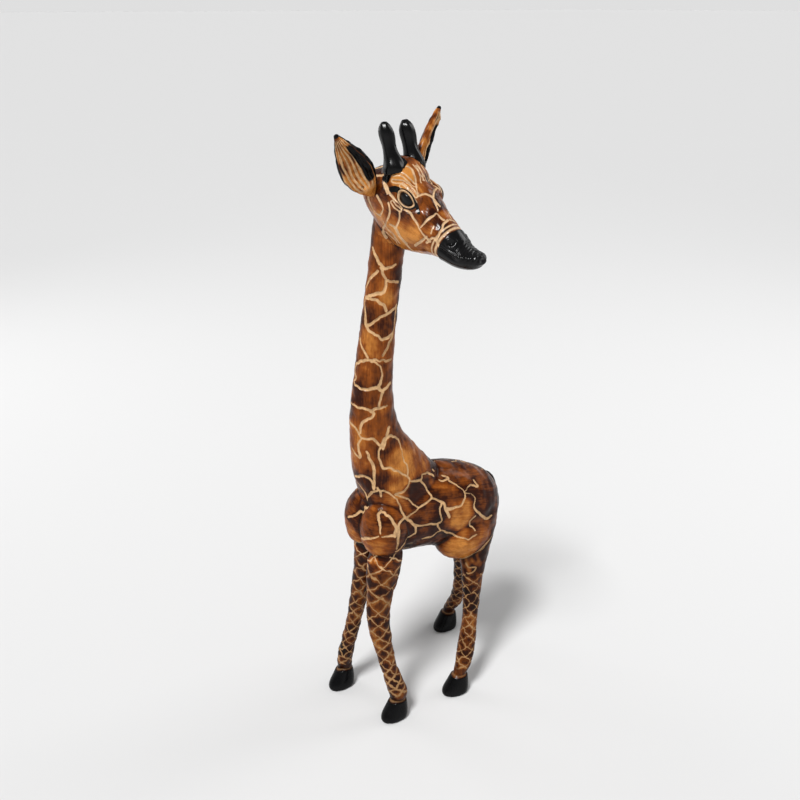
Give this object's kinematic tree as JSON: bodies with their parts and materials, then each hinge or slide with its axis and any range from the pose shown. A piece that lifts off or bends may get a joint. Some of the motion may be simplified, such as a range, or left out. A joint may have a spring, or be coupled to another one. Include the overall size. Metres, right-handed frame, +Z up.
{
  "type": "carved giraffe statue",
  "caption": "Standing carved wooden giraffe with its head turned to its left, flat hoof soles to stand on, and a network of grooves cut through a scorched surface.",
  "frame": {"origin": "on the ground, under the centre of the statue's bounding box", "axes": "+Z up; the body faces -Y; the giraffe's left side, to which its head turns, is +X"},
  "size_m": [0.2724, 0.3274, 0.9684],
  "materials": {
    "trunk_wood": "varnished wood, scorched brown patches, grooves cut through to bare tan wood",
    "neck_wood": "varnished wood, scorched brown patches, grooves cut through to bare tan wood",
    "head_wood": "varnished wood with burnt patches, glossy black painted muzzle and eyes",
    "leg_wood": "varnished wood cut with crossing tan lines, glossy black painted hooves",
    "ear_wood": "varnished wood, ridged inside, black painted rim",
    "tail_wood": "dark stained wood",
    "black_paint_wood": "gloss black paint on wood",
    "dowel_wood": "plain hardwood rod"
  },
  "bodies": {
    "root": {"dowel_ear_left": "dowel_wood", "dowel_ear_right": "dowel_wood", "dowel_head": "dowel_wood", "dowel_leg_front_left": "dowel_wood", "dowel_leg_front_right": "dowel_wood", "dowel_leg_hind_left": "dowel_wood", "dowel_leg_hind_right": "dowel_wood", "dowel_neck": "dowel_wood", "dowel_ossicone_left": "dowel_wood", "dowel_ossicone_right": "dowel_wood", "dowel_tail": "dowel_wood", "ear_left": "ear_wood", "ear_right": "ear_wood", "head": "head_wood", "leg_front_left": "leg_wood", "leg_front_right": "leg_wood", "leg_hind_left": "leg_wood", "leg_hind_right": "leg_wood", "neck": "neck_wood", "ossicone_left": "black_paint_wood", "ossicone_right": "black_paint_wood", "tail": "tail_wood", "trunk": "trunk_wood"}
  },
  "joints": []
}
